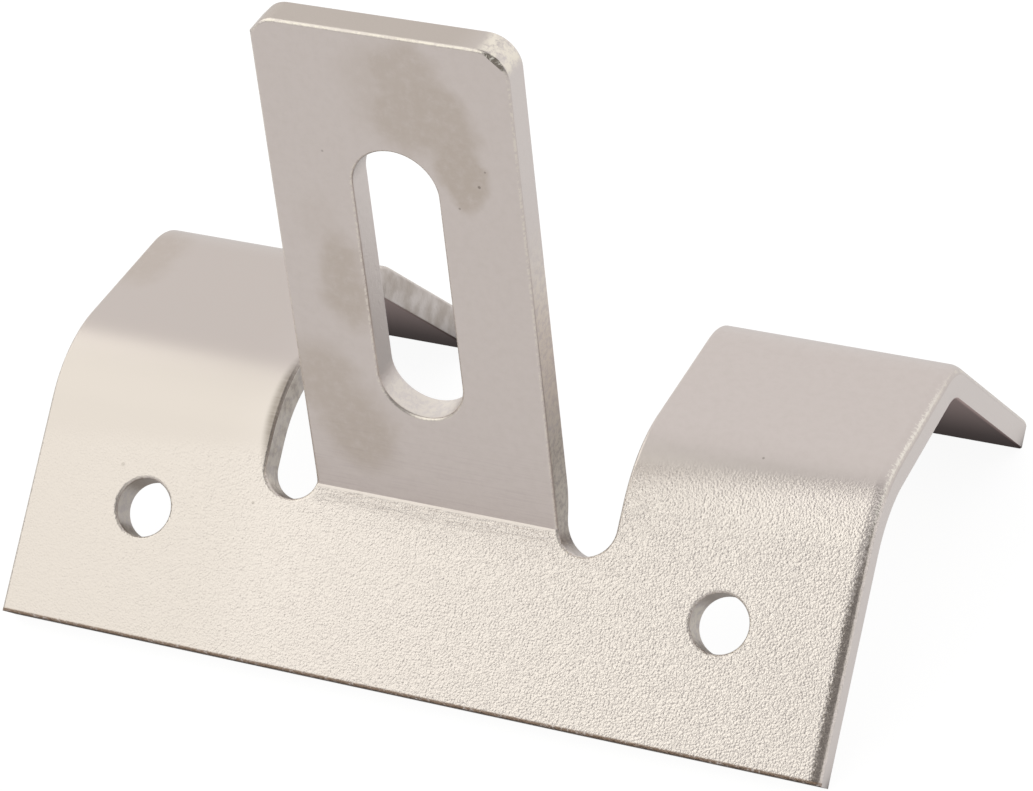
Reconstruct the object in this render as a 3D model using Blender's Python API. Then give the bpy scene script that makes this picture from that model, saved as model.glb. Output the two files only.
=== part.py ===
"""Solar roof hook for trapezoidal metal roofs, folded from one blank of stainless sheet.

The blank is drawn flat, as it leaves the laser or the punch: a full-width flange with two
screw holes, two wings, and between them a slotted tab that two U-shaped relief notches set
free. Then it is folded. Each wing goes back over a soft shoulder and a tighter crown, so
that the section straddles a roof rib, and the tab goes forward until it stands upright. A
punch presses the tab's bend to a sharp crease in front, while its back stays round.

Metres, +Z up. X runs along the bend lines, the flange faces -Y, and the hook stands on the
two long edges that rest on a roof. The origin is on that plane, under the box's middle.
"""

import math

import bmesh
import bpy
from mathutils import Vector

# Sheet
SHEET = 0.0040
WIDTH = 0.1050
EDGE_BREAK = 0.0004

# Wings, from the flange's lower edge over the shoulder and the crown to the back edge
FLANGE = 0.0268
SHOULDER_ANGLE = math.radians(46)
SHOULDER_INSIDE = 0.0120
TOP = 0.0165
CROWN_ANGLE = math.radians(45)
CROWN_INSIDE = 0.0050
BACK = 0.0330

# Tab, whose bend begins a little below the notches that set it free
TAB_WIDTH = 0.0310
TAB_BEND_FROM = 0.0183
TAB_ANGLE = math.radians(45.5)
TAB_INSIDE = 0.0100
TAB_STRAIGHT = 0.0602
TAB_CORNER = 0.0038

# Relief notches on both sides of the tab, measured from the flange's lower edge
NOTCH_WIDTH = 0.0070
NOTCH_BOTTOM = 0.0202

# Slot in the tab for a 10 mm rail bolt
SLOT_WIDTH = 0.0105
SLOT_LENGTH = 0.0364
SLOT_ABOVE_BEND = 0.0086

# Holes in the flange for 6.3 mm roofing screws
SCREW_HOLE = 0.0070
SCREW_SPACING = 0.0740
SCREW_HEIGHT = 0.0156

# Fineness of round stretches, of bends and of the soft passage from tab to wing
ROUND_STEP = math.radians(10)
BEND_STEP = math.radians(4)
PASSAGE_STEPS = 4

# Angles between faces that tell a flat stretch, a shaded edge and a cut edge apart
FLAT_UNDER = math.radians(1)
SHARP_OVER = math.radians(25)
CUT_OVER = math.radians(60)

STEEL_COLOUR = (0.60, 0.56, 0.52, 1.0)
STEEL_ROUGHNESS = 0.38
WELD = 1e-7


def bend_length(angle, inside):
    """Length that a bend takes from the blank, along the middle of the sheet."""
    return angle * (inside + SHEET / 2)


def wing_path():
    """Stretches of a wing: (length, angle, inside radius), with angle 0 for a flat one."""
    return [
        (FLANGE, 0.0, 0.0),
        (bend_length(SHOULDER_ANGLE, SHOULDER_INSIDE), SHOULDER_ANGLE, SHOULDER_INSIDE),
        (TOP, 0.0, 0.0),
        (bend_length(CROWN_ANGLE, CROWN_INSIDE), CROWN_ANGLE, CROWN_INSIDE),
        (BACK, 0.0, 0.0),
    ]


def tab_path():
    """Stretches of the tab, which bends forward, so its angle is negative."""
    return [
        (TAB_BEND_FROM, 0.0, 0.0),
        (bend_length(TAB_ANGLE, TAB_INSIDE), -TAB_ANGLE, TAB_INSIDE),
        (TAB_STRAIGHT, 0.0, 0.0),
    ]


def path_length(path):
    return sum(length for length, _, _ in path)


def arc(centre, radius, start, end):
    """Points of an arc from one angle to another, both ends included."""
    steps = max(2, math.ceil(abs(end - start) / ROUND_STEP))
    turns = [start + (end - start) * step / steps for step in range(steps + 1)]
    return [
        (centre[0] + radius * math.cos(turn), centre[1] + radius * math.sin(turn))
        for turn in turns
    ]


def half_outline():
    """The blank's right half, from the middle of its lower edge to the middle of the tab's top."""
    notch_radius = NOTCH_WIDTH / 2
    notch_centre = (TAB_WIDTH / 2 + notch_radius, NOTCH_BOTTOM + notch_radius)
    gap = TAB_WIDTH / 2 + NOTCH_WIDTH
    wing_end = path_length(wing_path())
    tab_end = path_length(tab_path())
    corner = (TAB_WIDTH / 2 - TAB_CORNER, tab_end - TAB_CORNER)
    return (
        [(WIDTH / 2, 0.0), (WIDTH / 2, wing_end), (gap, wing_end)]
        + arc(notch_centre, notch_radius, 0.0, -math.pi)
        + arc(corner, TAB_CORNER, 0.0, math.pi / 2)
    )


def blank_loops():
    """Closed outlines of the flat blank: its edge, the slot and the two screw holes."""
    right = half_outline()
    left = [(-x, height) for x, height in reversed(right)]
    slot_radius = SLOT_WIDTH / 2
    slot_low = path_length(tab_path()) - TAB_STRAIGHT + SLOT_ABOVE_BEND + slot_radius
    slot_high = slot_low + SLOT_LENGTH - SLOT_WIDTH
    slot = arc((0.0, slot_high), slot_radius, 0.0, math.pi) + arc(
        (0.0, slot_low), slot_radius, math.pi, 2 * math.pi
    )
    holes = [
        arc((side * SCREW_SPACING / 2, SCREW_HEIGHT), SCREW_HOLE / 2, 0.0, 2 * math.pi)[:-1]
        for side in (-1, 1)
    ]
    return [right + left, slot] + holes


def make_blank():
    """The flat blank as a closed mesh, in the XY plane and centred on it through its thickness."""
    curve = bpy.data.curves.new("blank", "CURVE")
    curve.dimensions = "2D"
    curve.fill_mode = "BOTH"
    curve.extrude = SHEET / 2
    for loop in blank_loops():
        spline = curve.splines.new("POLY")
        spline.points.add(len(loop) - 1)
        for point, (x, height) in zip(spline.points, loop):
            point.co = (x, height, 0.0, 1.0)
        spline.use_cyclic_u = True
    drawn = bpy.data.objects.new("blank", curve)
    bpy.context.scene.collection.objects.link(drawn)
    graph = bpy.context.evaluated_depsgraph_get()
    mesh = bpy.data.meshes.new_from_object(drawn.evaluated_get(graph))
    bpy.data.objects.remove(drawn)
    bpy.data.curves.remove(curve)
    return mesh


def break_edges(sheet):
    """Rounds every cut edge of the flat sheet a little, as deburring does."""
    bmesh.ops.remove_doubles(sheet, verts=sheet.verts, dist=WELD)
    bmesh.ops.recalc_face_normals(sheet, faces=sheet.faces)
    bmesh.ops.dissolve_limit(
        sheet, angle_limit=FLAT_UNDER, verts=sheet.verts, edges=sheet.edges
    )
    cut_edges = [edge for edge in sheet.edges if edge.calc_face_angle(0.0) > CUT_OVER]
    bmesh.ops.bevel(
        sheet,
        geom=cut_edges,
        offset=EDGE_BREAK,
        offset_type="OFFSET",
        segments=2,
        profile=0.5,
        affect="EDGES",
        clamp_overlap=True,
    )
    bmesh.ops.triangulate(sheet, faces=sheet.faces)


def bend_lines(path):
    """Distances from the flange's lower edge at which a path's bends turn by one step.

    The number of steps is even, so that a line runs along the tab's crease.
    """
    lines = []
    start = 0.0
    for length, angle, _ in path:
        if angle:
            steps = 2 * math.ceil(abs(angle) / BEND_STEP / 2)
            lines += [start + length * step / steps for step in range(steps + 1)]
        start += length
    return lines


def passage_lines():
    """Distances from the middle at which the passage from tab to wing is scored."""
    steps = [TAB_WIDTH / 2 + NOTCH_WIDTH * step / PASSAGE_STEPS for step in range(PASSAGE_STEPS + 1)]
    return [side * distance for side in (-1, 1) for distance in steps]


def score(sheet, lines, across, wanted):
    """Cuts the wanted faces along lines that run across a direction, so that they can fold."""
    for line in lines:
        faces = [face for face in sheet.faces if wanted(face.calc_center_median().x)]
        edges = {edge for face in faces for edge in face.edges}
        verts = {vert for face in faces for vert in face.verts}
        bmesh.ops.bisect_plane(
            sheet,
            geom=list(verts) + list(edges) + faces,
            dist=WELD,
            plane_co=line * across,
            plane_no=across,
        )


def crease(angle, inside, share):
    """How deep the punch goes into the tab's front at a share of the bend's length.

    The front keeps the planes of flange and tab until they meet, halfway round the bend.
    """
    turned = abs(angle) * min(share, 1.0 - share)
    return inside / math.cos(turned) - inside


def fold(path, along, depth):
    """(y, z) of a blank's point: along from the flange's lower edge, depth in from its front."""
    heading = 0.0
    front = Vector((0.0, 0.0))
    left = along
    for number, (length, angle, inside) in enumerate(path):
        last = number == len(path) - 1
        used = left if last else min(left, length)
        inward = Vector((math.cos(heading), -math.sin(heading)))
        if angle:
            if angle < 0 and left < length:
                groove = crease(angle, inside, left / length)
                depth = groove + depth * (SHEET - groove) / SHEET
            centre_depth = inside + SHEET if angle > 0 else -inside
            centre = front + centre_depth * inward
            heading += angle * used / length
            inward = Vector((math.cos(heading), -math.sin(heading)))
            front = centre - centre_depth * inward
        else:
            front = front + used * Vector((math.sin(heading), math.cos(heading)))
        left -= used
        if left <= 0.0:
            break
    return front + depth * inward


def tab_share(x):
    """How far the sheet follows the tab's bend: fully in its width, and not past a notch."""
    beside = (abs(x) - TAB_WIDTH / 2) / NOTCH_WIDTH
    away = min(max(beside, 0.0), 1.0)
    return 1.0 - away * away * (3.0 - 2.0 * away)


def fold_sheet(sheet):
    """Folds the scored blank. Below the notches, tab and wing pass softly into each other."""
    wing = wing_path()
    tab = tab_path()
    for vert in sheet.verts:
        x, along, depth = vert.co.x, vert.co.y, SHEET / 2 - vert.co.z
        place = fold(wing, along, depth).lerp(fold(tab, along, depth), tab_share(x))
        vert.co = (x, place.x, place.y)


def stand_up(sheet):
    """Turns the hook until both of its long lower edges rest on Z = 0, and centres it."""
    wing = wing_path()
    front_foot = fold(wing, 0.0, SHEET)
    back_foot = fold(wing, path_length(wing), SHEET)
    between = back_foot - front_foot
    rise = math.atan2(between.y, between.x)
    cosine, sine = math.cos(rise), math.sin(rise)
    for vert in sheet.verts:
        y, z = vert.co.y, vert.co.z
        vert.co.y = y * cosine + z * sine
        vert.co.z = z * cosine - y * sine
    ys = [vert.co.y for vert in sheet.verts]
    floor = min(vert.co.z for vert in sheet.verts)
    middle = (min(ys) + max(ys)) / 2
    bmesh.ops.translate(sheet, verts=sheet.verts, vec=(0.0, -middle, -floor))


def steel():
    """Mill-finish stainless steel."""
    material = bpy.data.materials.new("stainless_sheet")
    material.use_nodes = True
    shader = material.node_tree.nodes["Principled BSDF"]
    shader.inputs["Base Color"].default_value = STEEL_COLOUR
    shader.inputs["Metallic"].default_value = 1.0
    shader.inputs["Roughness"].default_value = STEEL_ROUGHNESS
    return material


def make_hook():
    mesh = make_blank()
    sheet = bmesh.new()
    sheet.from_mesh(mesh)
    break_edges(sheet)
    along, sideways = Vector((0.0, 1.0, 0.0)), Vector((1.0, 0.0, 0.0))
    wing_from = TAB_WIDTH / 2 + NOTCH_WIDTH
    score(sheet, passage_lines(), sideways, lambda x: True)
    score(sheet, bend_lines(tab_path()), along, lambda x: abs(x) < wing_from)
    score(sheet, bend_lines(wing_path()), along, lambda x: abs(x) > wing_from)
    fold_sheet(sheet)
    stand_up(sheet)
    bmesh.ops.recalc_face_normals(sheet, faces=sheet.faces)
    sheet.to_mesh(mesh)
    sheet.free()
    mesh.name = "roof_hook"
    mesh.shade_smooth()
    mesh.set_sharp_from_angle(angle=SHARP_OVER)
    mesh.materials.append(steel())
    return bpy.data.objects.new("roof_hook", mesh)


def main():
    for old in list(bpy.data.objects):
        bpy.data.objects.remove(old)
    collection = bpy.data.collections.new("solar_roof_hook")
    bpy.context.scene.collection.children.link(collection)
    collection.objects.link(make_hook())


main()
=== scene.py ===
# %% [markdown]
# # A roof hook folded from one stainless sheet
#
# The real hook is a single piece. A blank is cut flat from 4 mm stainless sheet, its edges
# are deburred, and a press folds it: the two wings go back over a roof rib, and the slotted
# tab between them goes forward until it stands upright. This lesson follows the workshop's
# order, because a folded part is easiest to draw while it is still flat: cut, deburr, fold,
# stand it up, and then give it the finish of worn mill sheet.

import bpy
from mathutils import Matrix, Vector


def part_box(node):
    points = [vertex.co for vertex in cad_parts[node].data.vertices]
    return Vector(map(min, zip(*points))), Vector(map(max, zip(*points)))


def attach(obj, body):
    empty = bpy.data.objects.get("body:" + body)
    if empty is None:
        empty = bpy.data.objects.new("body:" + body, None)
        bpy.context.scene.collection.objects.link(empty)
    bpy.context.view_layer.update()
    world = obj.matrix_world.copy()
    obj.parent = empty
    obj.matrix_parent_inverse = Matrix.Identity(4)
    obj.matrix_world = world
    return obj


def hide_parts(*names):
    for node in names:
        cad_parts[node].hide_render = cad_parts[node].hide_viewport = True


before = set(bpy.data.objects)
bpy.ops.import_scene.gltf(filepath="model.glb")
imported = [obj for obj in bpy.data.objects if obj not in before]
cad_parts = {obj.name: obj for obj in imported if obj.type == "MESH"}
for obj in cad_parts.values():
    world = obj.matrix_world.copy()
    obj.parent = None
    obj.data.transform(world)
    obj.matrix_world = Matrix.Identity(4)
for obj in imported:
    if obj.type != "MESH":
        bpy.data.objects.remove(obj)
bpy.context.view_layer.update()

import math

import bmesh
import bpy
from mathutils import Matrix, Vector

# %% [markdown]
# ## Sizes
#
# All sizes are real ones, in metres. The width comes from the frame, so that the lesson's
# hook and the measured one agree. The rest are the sizes that a sheet-metal drawing gives:
# the thickness, the length and angle of each flat and bend, and the size and place of each
# cut. A bend's length is laid out along the middle of the sheet, where nothing stretches.

# %% Name the sizes
MM = 0.001
NODE = "roof_hook"
low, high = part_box(NODE)

WIDTH = high[0] - low[0]
SHEET = 4.0 * MM

FLANGE = 26.8 * MM
SHOULDER_ANGLE = math.radians(46)
SHOULDER_INSIDE = 12.0 * MM
TOP = 16.5 * MM
CROWN_ANGLE = math.radians(45)
CROWN_INSIDE = 5.0 * MM
BACK = 33.0 * MM

TAB_WIDTH = 31.0 * MM
TAB_BEND_FROM = 18.3 * MM
TAB_ANGLE = math.radians(45.5)
TAB_INSIDE = 10.0 * MM
TAB_STRAIGHT = 60.2 * MM

NOTCH_WIDTH = 7.0 * MM
NOTCH_BOTTOM = 20.2 * MM
SLOT_WIDTH = 10.5 * MM
SLOT_LENGTH = 36.4 * MM
SLOT_ABOVE_BEND = 8.6 * MM
SCREW_HOLE = 7.0 * MM
SCREW_SPACING = 74.0 * MM
SCREW_HEIGHT = 15.6 * MM

SHOULDER_LENGTH = SHOULDER_ANGLE * (SHOULDER_INSIDE + SHEET / 2)
CROWN_LENGTH = CROWN_ANGLE * (CROWN_INSIDE + SHEET / 2)
TAB_BEND_LENGTH = TAB_ANGLE * (TAB_INSIDE + SHEET / 2)
CROWN_FROM = FLANGE + SHOULDER_LENGTH + TOP
WING_END = CROWN_FROM + CROWN_LENGTH + BACK
TAB_STRAIGHT_FROM = TAB_BEND_FROM + TAB_BEND_LENGTH
TAB_END = TAB_STRAIGHT_FROM + TAB_STRAIGHT
WING_INNER = TAB_WIDTH / 2 + NOTCH_WIDTH
print(f"blank: {WIDTH / MM:.1f} mm wide, wings {WING_END / MM:.2f} mm, tab {TAB_END / MM:.2f} mm")

# %% [markdown]
# ## Small helpers
#
# An operator acts on everything that is selected, so each step first selects exactly what it
# needs. Outside edit mode that is one object. Inside edit mode it is the faces or the edges
# that pass a test of their place or their normal.

# %% Select one object, or some of its faces or edges
def only(piece):
    """Selects one object and makes it the active one."""
    for other in bpy.context.selected_objects:
        other.select_set(False)
    piece.select_set(True)
    bpy.context.view_layer.objects.active = piece


def choose(piece, faces=None, edges=None):
    """In edit mode, selects only the faces or the edges that a test accepts, and counts them."""
    mesh = bmesh.from_edit_mesh(piece.data)
    for part in (*mesh.verts, *mesh.edges, *mesh.faces):
        part.select = False
    chosen = [face for face in mesh.faces if faces(face)] if faces else []
    chosen += [edge for edge in mesh.edges if edges(edge)] if edges else []
    for part in chosen:
        part.select_set(True)
    bmesh.update_edit_mesh(piece.data)
    return len(chosen)


def apply_place(piece):
    """Moves an object's place, turn and scale into its mesh."""
    only(piece)
    bpy.ops.object.transform_apply(location=True, rotation=True, scale=True)


# %% [markdown]
# ## The flat blank
#
# The blank could be drawn as one outline and filled, but cutting it from a plate is closer to
# the workshop and keeps every cut its own step. The plate starts as a cube primitive that
# stands upright: X runs along the bend lines, Z runs away from the flange's lower edge, and
# the front faces -Y. The origin stays at the lower edge, at the middle of the thickness.

# %% Start with a plate
def block(name, corner_low, corner_high):
    """A box between two corners, with its place in its mesh."""
    middle = (Vector(corner_low) + Vector(corner_high)) / 2
    size = Vector(corner_high) - Vector(corner_low)
    bpy.ops.mesh.primitive_cube_add(size=1.0, location=middle, scale=size)
    made = bpy.context.object
    made.name = name
    apply_place(made)
    return made


hook = block(
    "folded_hook",
    (-WIDTH / 2, -SHEET / 2, 0.0),
    (WIDTH / 2, SHEET / 2, WING_END),
)
print("plate:", len(hook.data.polygons), "faces")

# %% [markdown]
# The relief notches, the slot and the screw holes are punched. Each punch is a solid whose
# corners are rounded by the bevel operator, and a Boolean modifier takes it out of the plate.
# A bevel as wide as half the punch turns a square end into a half circle.

# %% Make the punches
OVER = 10.0 * MM
ROUND_STEPS = 24
WELD = 0.001 * MM
CLOSE = 0.01 * MM


def runs_through(edge):
    """True for an edge that runs through the sheet, from front to back."""
    way = edge.verts[1].co - edge.verts[0].co
    return way.length > 0.0 and abs(way.y) > 0.99 * way.length


def near_any(edge, heights):
    """True for an edge that lies at one of some distances along the blank."""
    return any(abs(edge.verts[0].co.z - height) < CLOSE for height in heights)


def punch(name, x_low, x_high, z_low, z_high, round_low, round_high):
    """A punch through the sheet, with a full round at its lower end, its upper end or both."""
    made = block(name, (x_low, -OVER, z_low), (x_high, OVER, z_high))
    ends = [z_low] * round_low + [z_high] * round_high
    bpy.ops.object.mode_set(mode="EDIT")
    bpy.ops.mesh.select_mode(type="EDGE")
    choose(made, edges=lambda edge: runs_through(edge) and near_any(edge, ends))
    bpy.ops.mesh.bevel(
        offset=(x_high - x_low) / 2,
        segments=ROUND_STEPS,
        profile=0.5,
        affect="EDGES",
        clamp_overlap=True,
    )
    bpy.ops.mesh.select_all(action="SELECT")
    bpy.ops.mesh.remove_doubles(threshold=WELD)
    bpy.ops.object.mode_set(mode="OBJECT")
    return made


def cut(piece, cutter):
    """Takes a cutter out of a piece and removes the cutter."""
    modifier = piece.modifiers.new("cut", "BOOLEAN")
    modifier.operation = "DIFFERENCE"
    modifier.solver = "EXACT"
    modifier.object = cutter
    only(piece)
    bpy.ops.object.modifier_apply(modifier=modifier.name)
    bpy.data.objects.remove(cutter)


print("punches: rounded in", ROUND_STEPS, "steps")

# %% [markdown]
# The notches set the tab free from the wings, and each ends in a full round so that the sheet
# does not tear there when it is folded. They run out past the plate's end, and the tab is then
# trimmed, since it is shorter than the wings. The slot lets the rail's bolt slide up and down.

# %% Cut the notches, the tab's end, the slot and the screw holes
HOLE_SIDES = 64

for side in (-1, 1):
    edges_x = sorted((side * TAB_WIDTH / 2, side * WING_INNER))
    cut(hook, punch("notch", edges_x[0], edges_x[1], NOTCH_BOTTOM, WING_END + OVER, True, False))

tab_reach = TAB_WIDTH / 2 + NOTCH_WIDTH / 2
cut(hook, block("tab_end", (-tab_reach, -OVER, TAB_END), (tab_reach, OVER, WING_END + OVER)))

slot_low = TAB_STRAIGHT_FROM + SLOT_ABOVE_BEND
slot_high = slot_low + SLOT_LENGTH
cut(hook, punch("slot", -SLOT_WIDTH / 2, SLOT_WIDTH / 2, slot_low, slot_high, True, True))

for side in (-1, 1):
    bpy.ops.mesh.primitive_cylinder_add(
        vertices=HOLE_SIDES,
        radius=SCREW_HOLE / 2,
        depth=2 * OVER,
        location=(side * SCREW_SPACING / 2, 0.0, SCREW_HEIGHT),
        rotation=(math.pi / 2, 0.0, 0.0),
    )
    drill = bpy.context.object
    apply_place(drill)
    cut(hook, drill)
print("blank:", len(hook.data.polygons), "faces")

# %% [markdown]
# ## The tab's top corners
#
# The right corner is rounded. The left one was clipped off at a slant, and only the upper end
# of that clip was rounded by hand, so it leaves a point at the tab's side. Both are bevels of
# the short edge that runs through the sheet there. One segment gives the straight clip.

# %% Round one corner and clip the other
RIGHT_ROUND = 3.8 * MM
LEFT_CLIP = 2.0 * MM
LEFT_ROUND = 1.1 * MM
AT_CORNER = 0.05 * MM


def bevel_through(piece, x, z, offset, segments):
    """Bevels the edges that run through the sheet at one place of the outline."""
    found = choose(
        piece,
        edges=lambda edge: runs_through(edge)
        and abs(edge.verts[0].co.x - x) < AT_CORNER
        and abs(edge.verts[0].co.z - z) < AT_CORNER,
    )
    bpy.ops.mesh.bevel(offset=offset, segments=segments, profile=0.5, affect="EDGES")
    return found


only(hook)
bpy.ops.object.mode_set(mode="EDIT")
bpy.ops.mesh.select_mode(type="EDGE")
found = 0
for x, offset, segments in (
    (TAB_WIDTH / 2, RIGHT_ROUND, 14),
    (-TAB_WIDTH / 2, LEFT_CLIP, 1),
    (-TAB_WIDTH / 2 + LEFT_CLIP, LEFT_ROUND, 6),
):
    found += bevel_through(hook, x, TAB_END, offset, segments)
bpy.ops.object.mode_set(mode="OBJECT")
print("corner edges found:", found)

# %% [markdown]
# ## Deburred edges
#
# Punching rolls the sheet's front over the edge and leaves the back sharper, and deburring
# takes the rest off. So the front edges get a wider round than the back ones.

# %% Round the cut edges
FRONT_ROUND = 0.45 * MM
BACK_ROUND = 0.30 * MM
EDGE_STEPS = 5


def outlines(edge, side):
    """True for an edge between the front (side -1) or the back (side 1) and a cut wall."""
    if len(edge.link_faces) != 2:
        return False
    flat = [abs(face.normal.y) > 0.9 for face in edge.link_faces]
    return sum(flat) == 1 and side * edge.verts[0].co.y > 0.45 * SHEET


bpy.ops.object.mode_set(mode="EDIT")
bpy.ops.mesh.select_mode(type="EDGE")
for title, wanted, width in (
    ("front", lambda edge: outlines(edge, -1), FRONT_ROUND),
    ("back", lambda edge: outlines(edge, 1), BACK_ROUND),
):
    count = choose(hook, edges=wanted)
    bpy.ops.mesh.bevel(
        offset=width, segments=EDGE_STEPS, profile=0.5, affect="EDGES", loop_slide=True
    )
    print(title, "edges rounded:", count)
bpy.ops.object.mode_set(mode="OBJECT")

# %% [markdown]
# ## Lines to fold along
#
# A flat face can only bend where it has edges, so the sheet gets a line across it every
# degree of each bend. Bisect cuts these lines. The first lines run the other way, along the
# sheet, and part the tab from the wings. Between them, below the notches, they lie close
# together, because there the tab's bend has to fade softly into the flat flange.

# %% Score the sheet
BEND_STEP = math.radians(1)
PASSAGE_STEPS = 14
ROLL_REACH = 1.6 * MM
ROLL_STEPS = 8
EXACT = 0.0001 * MM


def bend_lines(start, length, angle, step):
    """Places along the blank at which a bend turns by one step, an even number of times."""
    steps = 2 * math.ceil(angle / step / 2)
    return [start + length * number / steps for number in range(steps + 1)]


def score(piece, axis, places, wanted):
    """Cuts a line at each place along an axis, through the faces that it crosses."""
    across = Vector([float(number == axis) for number in range(3)])
    for place in places:

        def crossed(face):
            reach = [vert.co[axis] for vert in face.verts]
            middle = face.calc_center_bounds()
            return min(reach) < place - EXACT and max(reach) > place + EXACT and wanted(middle)

        choose(piece, faces=crossed)
        bpy.ops.mesh.bisect(plane_co=place * across, plane_no=across, threshold=EXACT)


def in_tab(place):
    """True between the wings, which takes in the tab and the passages beside it."""
    return abs(place.x) < WING_INNER


def in_wing(place):
    """True in either wing, and in the flange under it."""
    return abs(place.x) > WING_INNER


passage = [TAB_WIDTH / 2 + NOTCH_WIDTH * step / PASSAGE_STEPS for step in range(PASSAGE_STEPS + 1)]
tab_lines = bend_lines(TAB_BEND_FROM, TAB_BEND_LENGTH, TAB_ANGLE, BEND_STEP / 2)
wing_lines = bend_lines(FLANGE, SHOULDER_LENGTH, SHOULDER_ANGLE, BEND_STEP)
wing_lines += bend_lines(CROWN_FROM, CROWN_LENGTH, CROWN_ANGLE, BEND_STEP)

only(hook)
bpy.ops.object.mode_set(mode="EDIT")
bpy.ops.mesh.select_mode(type="FACE")
roll = [
    WIDTH / 2 - FRONT_ROUND - (ROLL_REACH - FRONT_ROUND) * step / ROLL_STEPS
    for step in range(ROLL_STEPS + 1)
]
score(hook, 0, [side * x for x in passage for side in (-1, 1)] + roll, lambda place: True)
score(hook, 2, tab_lines, in_tab)
score(hook, 2, wing_lines, in_wing)
bpy.ops.object.mode_set(mode="OBJECT")
print("scored:", len(hook.data.polygons), "faces")

# %% [markdown]
# ## The ground corner
#
# Someone has taken the sharp edge off the tab's right front corner with one stroke of a
# grinder. The stroke is a plane, so one slanted bisect that fills its cut gives the same
# crescent: curved where it meets the round wall and nearly straight on the front.

# %% Grind the tab's right front corner
GRIND_FROM_CORNER = 2.14 * MM
GRIND_TILT = math.radians(33)
GRIND_LEAN = math.radians(49)

corner_way = Vector((math.cos(GRIND_LEAN), 0.0, math.sin(GRIND_LEAN)))
grind_facing = corner_way * math.sin(GRIND_TILT) + Vector((0.0, -math.cos(GRIND_TILT), 0.0))
tab_corner = Vector((TAB_WIDTH / 2, -SHEET / 2, TAB_END))
bpy.ops.object.mode_set(mode="EDIT")
choose(hook, faces=lambda face: in_tab(face.calc_center_bounds()))
bpy.ops.mesh.bisect(
    plane_co=tab_corner - GRIND_FROM_CORNER * corner_way,
    plane_no=grind_facing,
    use_fill=True,
    clear_outer=True,
    threshold=EXACT,
)
bpy.ops.object.mode_set(mode="OBJECT")
print("after grinding:", len(hook.data.polygons), "faces")

# %% [markdown]
# ## Places on the blank, kept for the finish
#
# The finish belongs to the sheet, not to the room: rolling grain, wear and stains bend with
# it. So each vertex keeps its place on the flat blank, in millimetres, in an attribute:
# X across, Y along from the flange's lower edge, Z in from the front. The materials read it.

# %% Keep the flat places in an attribute
BLANK = "blank_mm"
WALL_FACING = 0.3
GRIND_FACING = 0.99999


def keep_blank_places(piece):
    """Stores each vertex's place on the flat blank: across, along and in from the front."""
    kept = piece.data.attributes.new(BLANK, "FLOAT_VECTOR", "POINT")
    for vert, value in zip(piece.data.vertices, kept.data):
        value.vector = (vert.co.x / MM, vert.co.z / MM, (vert.co.y + SHEET / 2) / MM)


def sort_faces(piece):
    """Numbers the faces by finish: 0 for skin and rounds, 1 for cut walls, 2 for the grind."""
    for face in piece.data.polygons:
        if face.normal.dot(grind_facing) > GRIND_FACING:
            face.material_index = 2
        else:
            face.material_index = int(abs(face.normal.y) < WALL_FACING)


keep_blank_places(hook)
sort_faces(hook)
finishes = [face.material_index for face in hook.data.polygons]
print("faces of skin, walls and grind:", [finishes.count(number) for number in range(3)])

# %% [markdown]
# ## The crease
#
# The press's punch has a sharp nose. It sinks into the tab's front as the tab folds, so the
# planes of flange and tab meet in a crease, while the back stays round. On the flat sheet
# that is a groove: shallow at both ends of the bend and deepest in its middle. It is pressed
# by a Displace modifier whose vertex group says how far each vertex gives way. The nose also
# heaps up a fine ridge just below the crease, with a fainter one below it. Each row of the
# ridges gives how far below the crease it lies, its width and its height.

# %% Press the crease into the flat sheet
RIDGES = ((0.25 * MM, 0.16 * MM, 0.020 * MM), (0.95 * MM, 0.22 * MM, 0.014 * MM))


def tab_share(x):
    """How far the sheet follows the tab's bend: fully in the tab, and not past a notch."""
    beside = min(max((abs(x) - TAB_WIDTH / 2) / NOTCH_WIDTH, 0.0), 1.0)
    return 1.0 - beside * beside * (3.0 - 2.0 * beside)


def groove(along):
    """How deep the punch has gone into the front at one place along the blank."""
    passed = (along - TAB_BEND_FROM) / TAB_BEND_LENGTH
    turned = TAB_ANGLE * min(max(min(passed, 1.0 - passed), 0.0), 0.5)
    depth = TAB_INSIDE / math.cos(turned) - TAB_INSIDE
    below = TAB_BEND_FROM + TAB_BEND_LENGTH / 2 - along
    for place, width, height in RIDGES:
        depth -= height * math.exp(-(((below - place) / width) ** 2))
    return depth


def group(piece, name, weight_at):
    """A vertex group whose weights follow from each vertex's place."""
    made = piece.vertex_groups.new(name=name)
    for vert in piece.data.vertices:
        weight = weight_at(vert.co)
        if weight > 0.0:
            made.add([vert.index], weight, "REPLACE")
    return made


def sink(piece, title, depth, weight_at):
    """Presses the sheet's front in by up to a depth, and its back not at all."""
    group(piece, title, lambda place: weight_at(place) * (0.5 - place.y / SHEET))
    press = piece.modifiers.new(title, "DISPLACE")
    press.direction = "Y"
    press.strength = depth
    press.mid_level = 0.0
    press.vertex_group = title
    only(piece)
    bpy.ops.object.modifier_apply(modifier=press.name)
    print(f"{title}: {depth / MM:.2f} mm deep at most")


deepest = groove(TAB_BEND_FROM + TAB_BEND_LENGTH / 2)
sink(
    hook,
    "crease",
    deepest,
    lambda place: max(groove(place.z), 0.0) / deepest * tab_share(place.x),
)

# %% [markdown]
# Where the blank was sheared off the strip, at its right end, the shear pulled the skin down.
# This rollover is wider than the deburred round and shallower. On the flange it turns away
# from the light, and reads as a narrow dark band.

# %% Roll the sheet's right end over
ROLL_DEPTH = 0.65 * MM


def rolled(place):
    """How far the skin has been pulled down near the right end, growing with the square."""
    inside = WIDTH / 2 - place.x
    return max(1.0 - inside / ROLL_REACH, 0.0) ** 2


sink(hook, "rollover", ROLL_DEPTH, rolled)

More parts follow.
